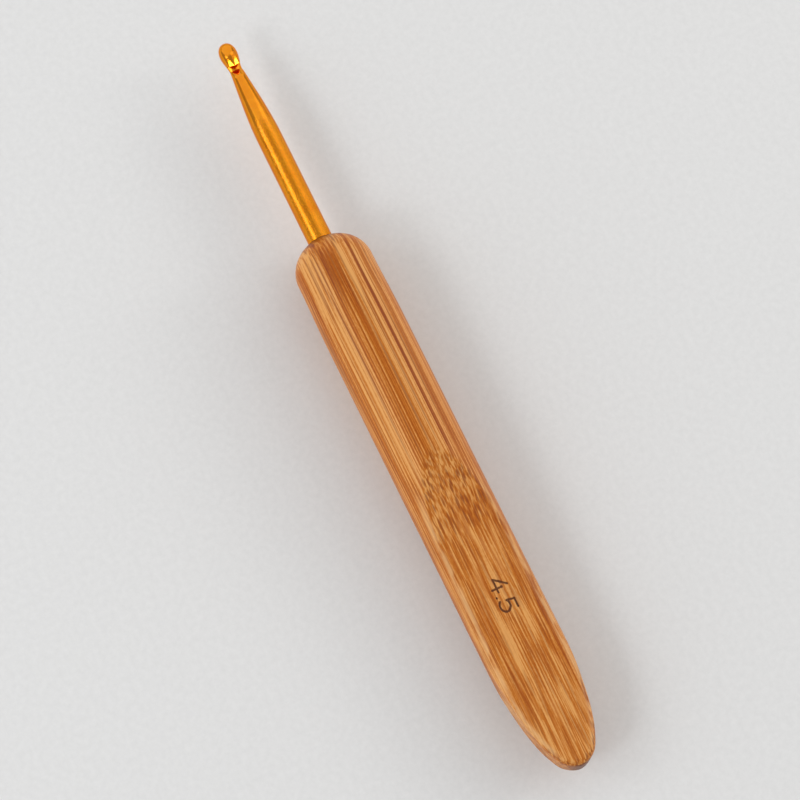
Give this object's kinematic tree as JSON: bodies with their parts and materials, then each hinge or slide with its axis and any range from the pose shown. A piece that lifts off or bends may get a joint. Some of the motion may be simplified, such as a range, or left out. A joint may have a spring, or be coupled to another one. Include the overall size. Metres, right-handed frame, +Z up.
{
  "type": "crochet hook",
  "caption": "Aluminium crochet hook with a tapered throat, glued into a bamboo handle that has a domed front and thumb flats",
  "frame": {"origin": "under the middle of the object, on the surface that the handle's round belly rests on", "axes": "+X along the hook from the tail to the tip, +Z up, the way the hook's mouth and the thumb flat face"},
  "size_m": [0.144, 0.0146, 0.0146],
  "materials": {
    "gold_anodised": "bright gold anodised",
    "adhesive": "cured epoxy",
    "bamboo": "carbonised bamboo, fine sanded and waxed"
  },
  "bodies": {
    "root": {"hook": "gold_anodised", "glue": "adhesive", "handle": "bamboo"}
  },
  "joints": []
}
